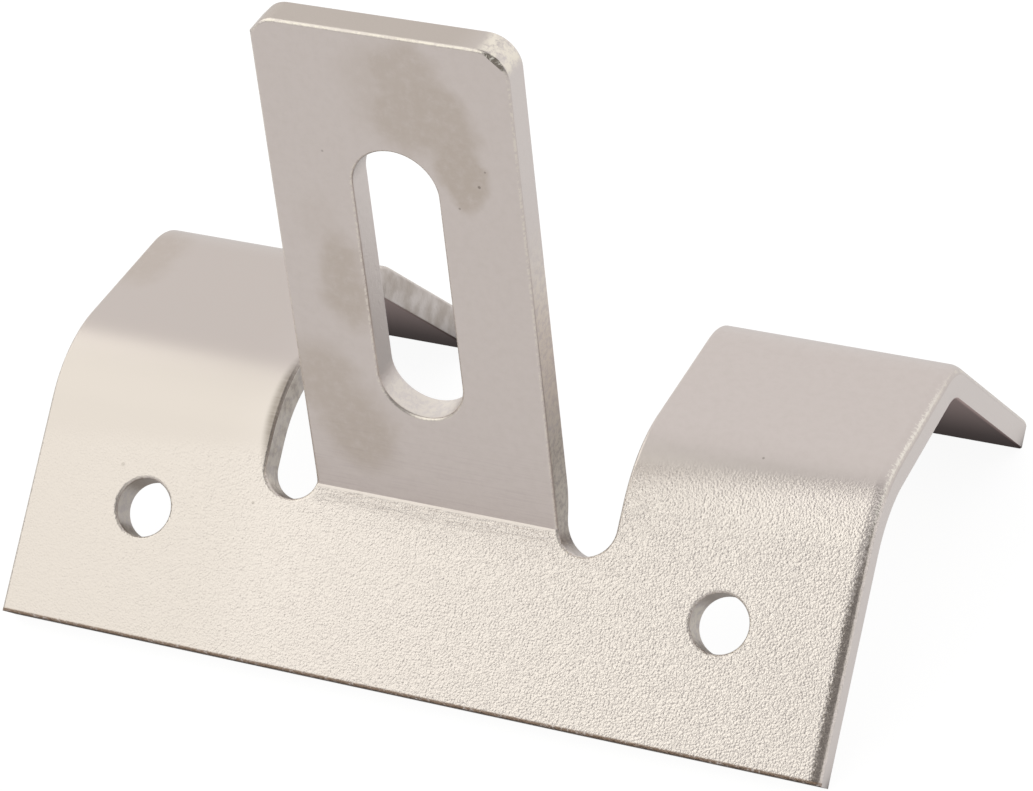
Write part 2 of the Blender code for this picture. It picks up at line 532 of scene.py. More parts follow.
# %% [markdown]
# ## Folding
#
# A Simple Deform modifier set to Bend rolls a flat stretch into an arc and carries what lies
# beyond it along unchanged, which is just what a press does. An empty at the start of the
# stretch says where the bend begins, the limits say where it ends, and a vertex group keeps
# it to the wings or to the tab. The crown is bent first: it lies further out, and the
# shoulder's bend then carries it.

# %% Fold the crowns, the shoulders and the tab
group(hook, "wings", lambda place: float(abs(place.x) > WING_INNER - MM))
group(hook, "tab", lambda place: tab_share(place.x))


def fold(piece, start, length, angle, part):
    """Bends one stretch of the sheet by an angle, backwards if the angle is positive."""
    bpy.ops.object.empty_add(location=(0.0, 0.0, start))
    begin = bpy.context.object
    heights = [vert.co.z for vert in piece.data.vertices]
    lowest, reach = min(heights), max(heights) - min(heights)
    bend = piece.modifiers.new("fold", "SIMPLE_DEFORM")
    bend.deform_method = "BEND"
    bend.deform_axis = "X"
    bend.origin = begin
    bend.angle = angle
    bend.limits = ((start - lowest) / reach, (start + length - lowest) / reach)
    bend.vertex_group = part
    only(piece)
    bpy.ops.object.modifier_apply(modifier=bend.name)
    bpy.data.objects.remove(begin)


fold(hook, CROWN_FROM, CROWN_LENGTH, CROWN_ANGLE, "wings")
fold(hook, FLANGE, SHOULDER_LENGTH, SHOULDER_ANGLE, "wings")
fold(hook, TAB_BEND_FROM, TAB_BEND_LENGTH, -TAB_ANGLE, "tab")
print("folded, size in mm:", [round(value / MM, 2) for value in hook.dimensions])

# %% [markdown]
# ## Standing it up
#
# The hook rests on two long edges: the flange's lower one and the back panels'. The angle to
# turn it by is the slope of the line between those two edges, found by walking along the
# section. Then it is moved until it fills the frame's box.

# %% Turn it onto its feet and place it in the frame
def section_end(stretches, inward):
    """(along the depth, up) at the end of a section, some way in from the sheet's middle."""
    heading, depth, height = 0.0, 0.0, 0.0
    for length, angle in stretches:
        if angle:
            radius = length / angle
            depth += radius * (math.cos(heading) - math.cos(heading + angle))
            height += radius * (math.sin(heading + angle) - math.sin(heading))
            heading += angle
        else:
            depth += length * math.sin(heading)
            height += length * math.cos(heading)
    return depth + inward * math.cos(heading), height - inward * math.sin(heading)


wing_section = (
    (FLANGE, 0.0),
    (SHOULDER_LENGTH, SHOULDER_ANGLE),
    (TOP, 0.0),
    (CROWN_LENGTH, CROWN_ANGLE),
    (BACK, 0.0),
)
back_depth, back_height = section_end(wing_section, SHEET / 2)
rise = math.atan2(back_height, back_depth - SHEET / 2)
hook.rotation_euler.x = -rise
apply_place(hook)

corners = [Vector(corner) for corner in hook.bound_box]
middle = (min(corner.y for corner in corners) + max(corner.y for corner in corners)) / 2
hook.location = (0.0, (low[1] + high[1]) / 2 - middle, low[2] - min(corner.z for corner in corners))
apply_place(hook)
print(f"turned by {math.degrees(rise):.2f} degrees")

# %% [markdown]
# The normals come last, when no face moves any more. They are smooth over bends and rounds and
# crisp at the crease, and they are weighted by face area so that the flats stay flat. The
# vertex groups have done their work and go.

# %% Finish the normals
SHARP = math.radians(28)

bpy.ops.object.mode_set(mode="EDIT")
bpy.ops.mesh.select_all(action="SELECT")
bpy.ops.mesh.normals_make_consistent(inside=False)
bpy.ops.object.mode_set(mode="OBJECT")
bpy.ops.object.shade_smooth_by_angle(angle=SHARP)
weigh = hook.modifiers.new("weigh", "WEIGHTED_NORMAL")
weigh.keep_sharp = True
bpy.ops.object.modifier_apply(modifier=weigh.name)
for old in list(hook.vertex_groups):
    hook.vertex_groups.remove(old)
print("faces in the finished mesh:", len(hook.data.polygons))

# %% [markdown]
# ## Mill-finish stainless steel
#
# Cold-rolled stainless leaves the mill with a soft, slightly warm grey skin. It is smooth
# enough to pick up the light of the room but not its outlines, so its roughness is well above
# that of a polished part. Here the skin changes by its place on the blank: smooth on the tab
# and the tops, with a fine leathery grain on the front flange, tan smudges where hands and the
# press have been, and worn or scuffed steel along the edges. Some of its colours are painted
# light and shade as well: a paler flange towards the right, a highlight along the right end,
# and shade below the crease, on the rollover, along the left notch, at the flange's lower edge
# and on the inner faces.
#
# Three helpers come first. One turns a colour's code into what a shader takes, one adds a node
# with its settings and links, and one starts a material that reads the place on the blank.

# %% Helpers for colours and nodes
def linear(code):
    """An sRGB hex colour as the linear values that a shader takes."""
    parts = []
    for start in (1, 3, 5):
        part = int(code[start : start + 2], 16) / 255
        parts.append(part / 12.92 if part <= 0.04045 else ((part + 0.055) / 1.055) ** 2.4)
    return (*parts, 1.0)


def add(material, kind, settings=None, **inputs):
    """Adds a node, sets its settings, and sets or links its inputs by name or number."""
    made = material.node_tree.nodes.new(kind)
    for name, value in (settings or {}).items():
        setattr(made, name, value)
    for name, value in inputs.items():
        key = int(name[1:]) if name[0] == "_" else name.replace("_", " ")
        if isinstance(value, bpy.types.NodeSocket):
            material.node_tree.links.new(value, made.inputs[key])
        else:
            made.inputs[key].default_value = value
    return made


def new_material(name):
    """A material for one finish, its shader, and the place on the blank that it reads."""
    made = bpy.data.materials.new(name)
    made.use_nodes = True
    place = add(made, "ShaderNodeAttribute", {"attribute_name": BLANK}).outputs["Vector"]
    return made, made.node_tree.nodes["Principled BSDF"], place


print("sRGB #808080 as a shader takes it:", round(linear("#808080")[0], 3))

# %% [markdown]
# Rolled sheet is never one even grey. The skin wavers a little between two greys, and the left
# wing lies wholly in the duller one. A mask says where a finish lies: it is a product of soft
# steps, each over a few millimetres of the blank or over a stretch of a noise's values. The
# places are in millimetres, so a noise's scale is its number of lumps in each millimetre. A
# pair of values such as DULL_WING runs from where a mask is 0 to where it is 1.

# %% The steel skin and its two greys
STEEL = linear("#D0C6C1")
STEEL_DULL = linear("#C9BFB9")
DULL_WING = (-15.0, -30.0)
CLOUDS_PER_MM = 0.9


def mask(material, *parts, soft=True):
    """All parts multiplied. A part (value, start, end) rises from 0 at start to 1 at end."""
    result = None
    for part in parts:
        if isinstance(part, tuple):
            value, start, end = part
            part = add(
                material,
                "ShaderNodeMapRange",
                {"interpolation_type": "SMOOTHSTEP" if soft else "LINEAR"},
                Value=value,
                From_Min=start,
                From_Max=end,
            ).outputs["Result"]
        if result is None:
            result = part
        else:
            product = add(material, "ShaderNodeMath", {"operation": "MULTIPLY"}, _0=result, _1=part)
            result = product.outputs[0]
    return result


skin, skin_shader, place = new_material("mill_finish_stainless")
skin_x, skin_along, skin_depth = add(skin, "ShaderNodeSeparateXYZ", Vector=place).outputs
side_on = add(skin, "ShaderNodeMath", {"operation": "ABSOLUTE"}, _0=skin_x).outputs[0]
on_front = mask(skin, (skin_depth, SHEET / 2 / MM, SHEET / 4 / MM))

cloudy = add(
    skin, "ShaderNodeTexNoise", Vector=place, Scale=CLOUDS_PER_MM, Detail=4.0, Roughness=0.7
)
dullness = add(
    skin,
    "ShaderNodeMath",
    {"operation": "MAXIMUM"},
    _0=mask(skin, (cloudy.outputs["Fac"], 0.35, 0.75), 0.5),
    _1=mask(skin, (skin_x, *DULL_WING)),
)
milled = add(
    skin,
    "ShaderNodeMix",
    {"data_type": "RGBA"},
    _0=dullness.outputs[0],
    _6=STEEL,
    _7=STEEL_DULL,
)
print("two greys, linear red:", round(STEEL[0], 3), round(STEEL_DULL[0], 3))

# %% [markdown]
# The smudges are ovals on the blank whose outlines a noise pushes about, so that they end as
# a dried film does. All but the last lie on the tab, and the last is on the left wing's top.
# They only tint the steel: the metal stays metal under them.

# %% Smudges on the tab and on the left wing
STAIN = linear("#BDB1A7")
PUSH = 3.6
WAVES_PER_MM = 0.22
MOTTLES_PER_MM = 0.8
SMUDGES = (
    (0.2, 81.0, 4.6, 5.8, 0.0, 0.45, 0.50),
    (2.6, 83.2, 4.2, 4.2, 0.0, 0.75, 0.30),
    (2.6, 77.6, 4.6, 4.6, 14.0, 0.80, 0.30),
    (6.2, 78.2, 4.2, 6.4, 24.0, 0.85, 0.25),
    (8.6, 71.8, 3.2, 5.6, 6.0, 0.95, 0.20),
    (-10.0, 61.4, 2.6, 4.0, 0.0, 0.20, 0.50),
    (-7.8, 54.2, 3.0, 6.2, 4.0, 0.85, 0.45),
    (-12.4, 39.6, 4.2, 5.4, 20.0, 0.80, 0.45),
    (-8.8, 33.2, 4.4, 6.0, 14.0, 0.85, 0.45),
    (-50.6, 51.5, 3.4, 6.0, 0.0, 0.60, 0.40),
)


def ovals(material, where, rows):
    """The strongest of some soft ovals on the blank, at each point of it.

    A row gives the middle across and along, half the width, half the length, the lean in
    degrees, the strength, and how soft the outline is. The first four are in millimetres.
    """
    strongest = 0.0
    for x, along, half_width, half_length, lean, strength, fade in rows:
        turned = add(
            material,
            "ShaderNodeMapping",
            {"vector_type": "TEXTURE"},
            Vector=where,
            Location=(x, along, 0.0),
            Rotation=(0.0, 0.0, math.radians(lean)),
            Scale=(half_width, half_length, 1000.0),
        ).outputs["Vector"]
        far = add(material, "ShaderNodeVectorMath", {"operation": "LENGTH"}, Vector=turned)
        oval = mask(material, (far.outputs["Value"], 1.0 + fade, 1.0 - fade), strength)
        larger = add(material, "ShaderNodeMath", {"operation": "MAXIMUM"}, _0=strongest, _1=oval)
        strongest = larger.outputs[0]
    return strongest


wander = add(
    skin, "ShaderNodeTexNoise", Vector=place, Scale=WAVES_PER_MM, Detail=3.0, Roughness=0.45
)
pushed = add(
    skin,
    "ShaderNodeVectorMath",
    {"operation": "MULTIPLY_ADD"},
    _0=wander.outputs["Color"],
    _1=(PUSH, PUSH, 0.0),
    _2=place,
)
centred = add(
    skin,
    "ShaderNodeVectorMath",
    {"operation": "SUBTRACT"},
    _0=pushed.outputs["Vector"],
    _1=(PUSH / 2, PUSH / 2, 0.0),
)
smudged = ovals(skin, centred.outputs["Vector"], SMUDGES)
mottle = add(
    skin, "ShaderNodeTexNoise", Vector=place, Scale=MOTTLES_PER_MM, Detail=5.0, Roughness=0.7
)
tinted = add(
    skin,
    "ShaderNodeMix",
    {"data_type": "RGBA"},
    _0=mask(skin, smudged, (mottle.outputs["Fac"], 0.0, 0.62), on_front),
    _6=milled.outputs[2],
    _7=STAIN,
)
print("smudges:", len(SMUDGES), "pushed by up to", PUSH / 2, "mm")

# %% [markdown]
# The tab's lower part was wiped across, which left hairlines in it. A noise that is squeezed
# along the tab and drawn out across it gives them, and a mask fades them out upwards.

# %% Faint lines across the tab
LINED = (0.94, 0.93, 0.94, 1.0)
LINES_PER_MM = (0.15, 3.4, 1.0)
WIPED = (40.0, 26.0)
TAB_SIDES = (TAB_WIDTH / 2 / MM + 1.5, TAB_WIDTH / 2 / MM + 0.5)

drawn = add(skin, "ShaderNodeMapping", Vector=place, Scale=LINES_PER_MM).outputs["Vector"]
hairlines = add(skin, "ShaderNodeTexNoise", Vector=drawn, Scale=1.0, Detail=3.0, Roughness=0.6)
lined = add(
    skin,
    "ShaderNodeMix",
    {"data_type": "RGBA", "blend_type": "MULTIPLY"},
    _0=mask(
        skin,
        (hairlines.outputs["Fac"], 0.45, 0.70),
        (skin_along, *WIPED),
        (side_on, *TAB_SIDES),
    ),
    _6=tinted.outputs[2],
    _7=LINED,
)
print("hairlines: about", round(1 / LINES_PER_MM[1], 2), "mm apart")

# %% [markdown]
# Below the crease the heaped-up metal is crazed in two bands. The darker tones there are
# painted shade, in the dips beside the crease's ridges. They are a colour ramp over the distance
# from the crease, and fade out sideways beside the tab. Each row is a distance below the crease
# in millimetres, and the tone there.

# %% Bands of painted shade below the crease
WHITE = (1.0, 1.0, 1.0, 1.0)
CREASE_AT = (TAB_BEND_FROM + TAB_BEND_LENGTH / 2) / MM
CREASE_ZONE = 3.0
# The tones below 1 are painted shade in the dips beside the crease's ridges.
CREASE_SHADE_TONES = (
    (0.00, 1.00),
    (0.25, 1.00),
    (0.42, 0.90),
    (0.65, 0.91),
    (0.92, 1.00),
    (1.15, 0.97),
    (1.40, 0.90),
    (1.75, 0.92),
    (2.30, 1.00),
)

below = mask(skin, (skin_along, CREASE_AT, CREASE_AT - CREASE_ZONE), soft=False)
crease_shade_ramp = add(skin, "ShaderNodeValToRGB", Fac=below)
stops = crease_shade_ramp.color_ramp.elements
stops.remove(stops[1])
stops[0].color = WHITE
for distance, tone in CREASE_SHADE_TONES[1:]:
    stop = stops.new(distance / CREASE_ZONE)
    stop.color = (tone, tone, tone, 1.0)

under_tab = mask(skin, (side_on, TAB_WIDTH / 2 / MM + 0.7, TAB_WIDTH / 2 / MM - 0.5), on_front)
crease_shaded = add(
    skin,
    "ShaderNodeMix",
    {"data_type": "RGBA", "blend_type": "MULTIPLY"},
    _0=under_tab,
    _6=lined.outputs[2],
    _7=crease_shade_ramp.outputs["Color"],
)
print(f"crease: {CREASE_AT:.2f} mm along the blank, bands down to {CREASE_ZONE} mm below it")

# %% [markdown]
# The flange's front has a fine sandy grain, as sheet has that was blasted or rolled with a
# worn roll. Its lumps are about a quarter of a millimetre wide, far too fine for a mesh, so it
# is bump, drawn deeper than the few microns of the real one so that it shows. It runs up into
# the start of the shoulder and stops there, lower down on the left than on the right, and it
# is deeper on the right as well. Where it lies the steel is also paler, more so to the right:
# partly the blasted skin's own tone, and partly painted light that keeps the flange's right
# end as bright as its left.

# %% Sandy grain on the flange, and painted light on it
# This pale tone is partly the blasted skin and partly painted light, stronger to the right.
BLASTED_AND_LIT = linear("#E8DED8")
GRAIN_SIZE = 0.27
GRAIN_HEIGHT = 0.10 * MM
GRAIN_END = 26.0
GRAIN_FADE = 4.0
GRAIN_SLANT = -0.1
GRAIN_LEAST = 0.03
GRAIN_GROWTH = (-95.0, 45.0)
PEBBLE_SHARE = 0.8

pebbles = add(
    skin, "ShaderNodeTexVoronoi", {"feature": "F1"}, Vector=place, Scale=1.0 / GRAIN_SIZE
)
grit = add(
    skin, "ShaderNodeTexNoise", Vector=place, Scale=1.0 / GRAIN_SIZE, Detail=3.0, Roughness=0.6
)
grain = add(
    skin,
    "ShaderNodeMath",
    {"operation": "SUBTRACT"},
    _0=grit.outputs["Fac"],
    _1=mask(skin, pebbles.outputs["Distance"], PEBBLE_SHARE),
)
slanting = add(
    skin, "ShaderNodeMath", {"operation": "MULTIPLY_ADD"}, _0=skin_x, _1=GRAIN_SLANT, _2=skin_along
)
on_tab = mask(skin, (side_on, *TAB_SIDES), (skin_along, CREASE_AT - 0.45, CREASE_AT - 0.3))
off_tab = add(skin, "ShaderNodeMath", {"operation": "SUBTRACT"}, _0=1.0, _1=on_tab)
grain_share = add(
    skin,
    "ShaderNodeMath",
    {"operation": "MULTIPLY_ADD"},
    _0=mask(
        skin,
        (slanting.outputs[0], GRAIN_END + GRAIN_FADE, GRAIN_END),
        off_tab.outputs[0],
        on_front,
    ),
    _1=mask(skin, (skin_x, *GRAIN_GROWTH), soft=False),
    _2=GRAIN_LEAST,
).outputs[0]
# Paler steel where the grain lies: partly its own tone, partly painted light towards the right.
paler_and_lit = add(
    skin,
    "ShaderNodeMix",
    {"data_type": "RGBA"},
    _0=mask(skin, grain_share, grain_share),
    _6=crease_shaded.outputs[2],
    _7=BLASTED_AND_LIT,
)
sandy = add(
    skin,
    "ShaderNodeBump",
    Strength=grain_share,
    Distance=GRAIN_HEIGHT,
    Height=grain.outputs[0],
)
print("grain:", GRAIN_SIZE, "mm wide, up to", GRAIN_END, "mm along the blank")

# %% [markdown]
# Two more bumps share the same skin: the wrinkles below the crease, drawn out along it, and
# the nicks in the round edges, which break up the thin bright line along each of them.

# %% Wrinkles below the crease, and nicks in the edges
WRINKLE_HEIGHT = 0.10 * MM
WRINKLES_PER_MM = (0.7, 3.2, 1.0)
NICK_HEIGHT = 0.055 * MM
NICKS_PER_MM = 2.2

flattened = add(skin, "ShaderNodeMapping", Vector=place, Scale=WRINKLES_PER_MM)
wrinkles = add(
    skin,
    "ShaderNodeTexNoise",
    Vector=flattened.outputs["Vector"],
    Scale=1.0,
    Detail=3.0,
    Roughness=0.6,
    Distortion=0.8,
)
crazed = add(
    skin,
    "ShaderNodeBump",
    Strength=mask(
        skin,
        (skin_along, CREASE_AT - 3.4, CREASE_AT - 1.6),
        (skin_along, CREASE_AT - 0.1, CREASE_AT - 0.5),
        under_tab,
    ),
    Distance=WRINKLE_HEIGHT,
    Height=wrinkles.outputs["Fac"],
    Normal=sandy.outputs["Normal"],
)

nicks = add(
    skin, "ShaderNodeTexNoise", Vector=place, Scale=NICKS_PER_MM, Detail=3.0, Roughness=0.65
)
on_edge = mask(skin, (skin_depth, 0.0, 0.06), (skin_depth, 0.30, 0.15))
nicked = add(
    skin,
    "ShaderNodeBump",
    Strength=on_edge,
    Distance=NICK_HEIGHT,
    Height=nicks.outputs["Fac"],
    Normal=crazed.outputs["Normal"],
)
print("wrinkles and nicks, mm high:", WRINKLE_HEIGHT / MM, NICK_HEIGHT / MM)

# %% [markdown]
# Wear and painted light and shade follow the edges. Along the right end a painted highlight
# lies on the wing's worn edge, and lower down the rollover gets painted shade, in a band that a
# noise makes ragged and that tapers off upwards. A soft band of painted shade lies along the left
# notch, and a few specks are scattered about. A speck's row gives its middle across and along,
# its half width in millimetres, and its strength.

# %% Where the skin is worn and scuffed, and where light and shade are painted
RIGHT_END = WIDTH / 2 / MM
RAGGEDNESS = 2.4
RAGGED_PER_MM = 2.6
HIGHLIGHT_FROM = (25.0, 30.0)
HIGHLIGHT_UP_TO = (58.0, 46.0)
# The oval along the left notch is painted shade.
NOTCH_SHADE_OVAL = (-WING_INNER / MM + 0.2, 30.5, 1.4, 6.4, 0.0, 0.9, 0.4)
SPECKS = (
    (-8.4, 71.7, 0.14, 0.45),
    (11.4, 72.3, 0.13, 0.6),
    (10.5, 70.2, 0.18, 0.8),
    (7.8, 66.9, 0.14, 0.6),
    (-40.9, 20.2, 0.26, 0.25),
    (-23.0, 18.7, 0.18, 0.4),
    (37.2, 34.6, 0.15, 0.6),
)

ragged_noise = add(
    skin, "ShaderNodeTexNoise", Vector=place, Scale=RAGGED_PER_MM, Detail=4.0, Roughness=0.75
)
ragged = add(
    skin,
    "ShaderNodeMath",
    {"operation": "MULTIPLY_ADD"},
    _0=ragged_noise.outputs["Fac"],
    _1=RAGGEDNESS,
    _2=skin_x,
).outputs[0]
near_skin = mask(skin, (skin_depth, 0.14, 0.04))
# A painted highlight along the worn right end.
worn_highlight = mask(
    skin,
    (ragged, RIGHT_END + 0.55, RIGHT_END + 0.95),
    (skin_along, *HIGHLIGHT_FROM),
    (skin_along, *HIGHLIGHT_UP_TO),
    near_skin,
)
taper = mask(skin, (skin_along, GRAIN_END - 8.0, GRAIN_END + 5.0), soft=False)
tapered = add(skin, "ShaderNodeMath", {"operation": "SUBTRACT"}, _0=ragged, _1=taper)
# Painted shade on the rollover band.
roll_shade = mask(
    skin,
    (tapered.outputs[0], RIGHT_END - 0.20, RIGHT_END + 0.35),
    (skin_along, GRAIN_END + 7.0, GRAIN_END + 3.0),
    near_skin,
    0.8,
)
# Painted shade along the left notch.
notch_shade = mask(
    skin,
    ovals(skin, place, (NOTCH_SHADE_OVAL,)),
    on_front,
    (hairlines.outputs["Fac"], -0.60, 0.85),
)
speck_rows = [(x, along, size, size, 0.0, strength, 0.3) for x, along, size, strength in SPECKS]
specks = mask(skin, ovals(skin, place, speck_rows), on_front)
scuffs_and_shade = roll_shade
for other in (notch_shade, specks):
    larger = add(skin, "ShaderNodeMath", {"operation": "MAXIMUM"}, _0=scuffs_and_shade, _1=other)
    scuffs_and_shade = larger.outputs[0]
print("specks:", len(SPECKS))

# %% [markdown]
# Each kind of wear, and each painted light or shade, is a colour of steel laid over the one
# before. The deburred rounds are rubbed paler between their nicks, and the flange's lower edge
# is painted brown as shade, where its round turns down. The inner faces get painted shade:
# darker steel, darker still towards the back panels' ends. The inner faces do not show in full:
# they are taken to be dull, and darker towards the back panels' ends. Their colour in grazing
# light is set by the specular tint, which carries the same painted shade, and the metal keeps
# its own IOR.

# %% The skin's colours in layers
RUBBED = linear("#DDD4CA")
# The worn colour is a painted highlight along the right end's edge, over real wear.
WORN_HIGHLIGHT = linear("#EFE8DE")
# The scuffed colour is painted shade on the rollover and along the left notch, and real marks on
# the specks.
SCUFFED_AND_SHADED = linear("#867C74")
# The brown colour is painted shade where the flange's lower round turns down.
EDGE_SHADE_BROWN = linear("#96806F")
# The inside colours are painted shade on the inner faces, and the grazed tint carries it into their
# reflections.
INSIDE_SHADE = linear("#9F908C")
INSIDE_DEEP_SHADE = linear("#574B48")
INSIDE_SHADE_GRAZED = linear("#F4E7E6")
INSIDE_DEPTH = (3.0, 3.6)
INSIDE_SIDES = (17.0, 22.0)
INSIDE_DARKENS = (60.0, 86.0)
EDGE_SHADE_BAND = (0.55, 0.25)
SKIN_ROUGHNESS = 0.33

shaded_inside = mask(skin, (skin_depth, *INSIDE_DEPTH), (side_on, *INSIDE_SIDES))
inside_shade = add(
    skin,
    "ShaderNodeMix",
    {"data_type": "RGBA"},
    _0=mask(skin, (skin_along, *INSIDE_DARKENS), soft=False),
    _6=INSIDE_SHADE,
    _7=INSIDE_DEEP_SHADE,
)
skin_colour = paler_and_lit.outputs[2]
for amount, colour in (
    (mask(skin, on_edge, (nicks.outputs["Fac"], 0.40, 0.60)), RUBBED),
    (worn_highlight, WORN_HIGHLIGHT),
    (scuffs_and_shade, SCUFFED_AND_SHADED),
    (mask(skin, (skin_along, *EDGE_SHADE_BAND), (nicks.outputs["Fac"], 0.25, 0.50)), EDGE_SHADE_BROWN),
    (shaded_inside, inside_shade.outputs[2]),
):
    layer = add(
        skin, "ShaderNodeMix", {"data_type": "RGBA"}, _0=amount, _6=skin_colour, _7=colour
    )
    skin_colour = layer.outputs[2]
grazed_shade = add(
    skin, "ShaderNodeMix", {"data_type": "RGBA"}, _0=shaded_inside, _6=WHITE, _7=INSIDE_SHADE_GRAZED
)

skin_shader.inputs["Metallic"].default_value = 1.0
skin_shader.inputs["Roughness"].default_value = SKIN_ROUGHNESS
skin.node_tree.links.new(skin_colour, skin_shader.inputs["Base Color"])
skin.node_tree.links.new(grazed_shade.outputs[2], skin_shader.inputs["Specular Tint"])
skin.node_tree.links.new(nicked.outputs["Normal"], skin_shader.inputs["Normal"])
print("skin nodes:", len(skin.node_tree.nodes))

# %% [markdown]
# ## Cut walls
#
# A punch shears the upper part of the sheet's thickness and tears the rest, so a cut wall is
# rougher than the skin, and finely pitted. It scatters light more widely, and so looks a little
# paler and flatter than the faces beside it. Real pits are finer: these are drawn about a
# millimetre wide so that they show.

# %% The sheared walls
WALL_ROUGHNESS = 0.45
TORN_HEIGHT = 0.045 * MM
PITS_PER_MM = (1.1, 1.1, 1.0)

wall, wall_shader, place = new_material("sheared_stainless_wall")
squeezed = add(wall, "ShaderNodeMapping", Vector=place, Scale=PITS_PER_MM).outputs["Vector"]
pits = add(
    wall,
    "ShaderNodeTexNoise",
    Vector=squeezed,
    Scale=1.0,
    Detail=4.0,
    Roughness=0.65,
    Distortion=0.6,
)
torn = add(wall, "ShaderNodeBump", Strength=1.0, Distance=TORN_HEIGHT, Height=pits.outputs["Fac"])
wall_shader.inputs["Metallic"].default_value = 1.0
wall_shader.inputs["Roughness"].default_value = WALL_ROUGHNESS
wall.node_tree.links.new(torn.outputs["Normal"], wall_shader.inputs["Normal"])
print("pits, mm deep:", TORN_HEIGHT / MM)

# %% [markdown]
# In some places a wall is bare and creamy, as at the rounded corner, and this paler colour is
# partly bare steel and partly painted light. In others a thin grime has settled, as on the
# tab's top and in the notches, and the same darker colour is painted shade high and low in the
# screw holes, at the left notch's bottom and low on the tab's right wall. The places are ovals
# again, and a noise breaks up the bare ones.

# %% Bare and lit places, grime and painted shade on the walls
WALL = linear("#DDD5D1")
# The dirty colour is grime on the tab's top and in the notches, and painted shade in the holes, at
# the left notch's bottom and low on the tab's right wall.
DIRT_AND_SHADE = linear("#B3A79C")
# The bare colour is partly bare steel and partly painted light.
BARE_AND_LIT = linear("#F5EDE0")
PATCHES_PER_MM = 0.35
NOTCH_FROM = (16.5, 17.5)
NOTCH_UP_TO = (24.0, 23.0)
HOLE_X = SCREW_SPACING / 2 / MM
HOLE_LOW = (SCREW_HEIGHT - SCREW_HOLE / 2) / MM
HOLE_HIGH = (SCREW_HEIGHT + SCREW_HOLE / 2) / MM
# Painted light, over bare steel: the rounded corner, the tab's right wall, the slot, the left notch
# and the holes.
BARE_AND_LIT_PLACES = (
    (TAB_WIDTH / 2 / MM - 1.3, TAB_END / MM - 1.1, 2.3, 2.0, 0.0, 1.0, 0.3),
    (TAB_WIDTH / 2 / MM, TAB_STRAIGHT_FROM / MM + 8.0, 2.0, 24.0, 0.0, 0.6, 0.3),
    (0.0, (TAB_STRAIGHT_FROM + SLOT_ABOVE_BEND) / MM + 1.0, 7.0, 3.0, 0.0, 0.4, 0.3),
    (-WING_INNER / MM, 26.0, 2.0, 10.0, 0.0, 0.5, 0.3),
    (-HOLE_X - 2.0, SCREW_HEIGHT / MM - 0.5, 3.6, 2.6, 0.0, 0.5, 0.3),
    (HOLE_X - 2.0, SCREW_HEIGHT / MM - 0.5, 3.6, 2.6, 0.0, 0.8, 0.3),
)
# All rows but the first are painted shade in recesses; the first is grime on the tab's top.
GRIME_AND_SHADE_PLACES = (
    (-3.0, TAB_END / MM, 16.0, 2.4, 0.0, 0.65, 0.3),
    (TAB_WIDTH / 2 / MM, 28.5, 2.0, 7.0, 0.0, 0.55, 0.3),
    (-WING_INNER / MM + 2.2, NOTCH_BOTTOM / MM + 0.4, 2.6, 1.4, -20.0, 0.8, 0.3),
    (-HOLE_X, HOLE_HIGH, 3.8, 2.4, 0.0, 1.0, 0.3),
    (-HOLE_X, HOLE_LOW, 3.8, 1.4, 0.0, 1.0, 0.3),
    (HOLE_X, HOLE_HIGH, 3.8, 2.4, 0.0, 0.8, 0.3),
    (HOLE_X, HOLE_LOW, 3.8, 1.4, 0.0, 0.8, 0.3),
)

wall_x = add(wall, "ShaderNodeSeparateXYZ", Vector=place).outputs["X"]
wall_side_on = add(wall, "ShaderNodeMath", {"operation": "ABSOLUTE"}, _0=wall_x).outputs[0]
patches = add(
    wall, "ShaderNodeTexNoise", Vector=place, Scale=PATCHES_PER_MM, Detail=3.0, Roughness=0.5
)
notch_grime = mask(
    wall,
    (wall_side_on, *NOTCH_FROM),
    (wall_side_on, *NOTCH_UP_TO),
    (patches.outputs["Fac"], 0.30, 0.70),
    0.7,
)
grime_and_shade = add(
    wall,
    "ShaderNodeMath",
    {"operation": "MAXIMUM"},
    _0=notch_grime,
    _1=ovals(wall, place, GRIME_AND_SHADE_PLACES),
)
speckle = add(wall, "ShaderNodeTexNoise", Vector=squeezed, Scale=1.0, Detail=3.0, Roughness=0.7)
bare_and_lit = mask(wall, ovals(wall, place, BARE_AND_LIT_PLACES), (speckle.outputs["Fac"], 0.34, 0.60))

wall_colour = WALL
for amount, colour in ((grime_and_shade.outputs[0], DIRT_AND_SHADE), (bare_and_lit, BARE_AND_LIT)):
    layer = add(
        wall, "ShaderNodeMix", {"data_type": "RGBA"}, _0=amount, _6=wall_colour, _7=colour
    )
    wall_colour = layer.outputs[2]
wall.node_tree.links.new(wall_colour, wall_shader.inputs["Base Color"])
print("wall places, bare and grimy:", len(BARE_AND_LIT_PLACES), len(GRIME_AND_SHADE_PLACES))

# %% [markdown]
# ## Ground steel
#
# The grinder left the corner's facet scratched and dark, with short deep scratches that run
# along the stroke. A few bright glints are painted on it, as flecks of mirrored light. The
# scratches are drawn wider than the grit's own, or they would not show on a facet of 4 mm.

# %% The ground facet
GROUND = linear("#8C847B")
# The glints are painted highlights.
PAINTED_GLINT = linear("#F2ECE2")
GROUND_ROUGHNESS = 0.40
SCRATCH_HEIGHT = 0.12 * MM
SCRATCHES_PER_MM = (6.0, 1.5, 1.5)
STROKE_TURN = math.radians(45)
GLINTS_PER_MM = 2.2

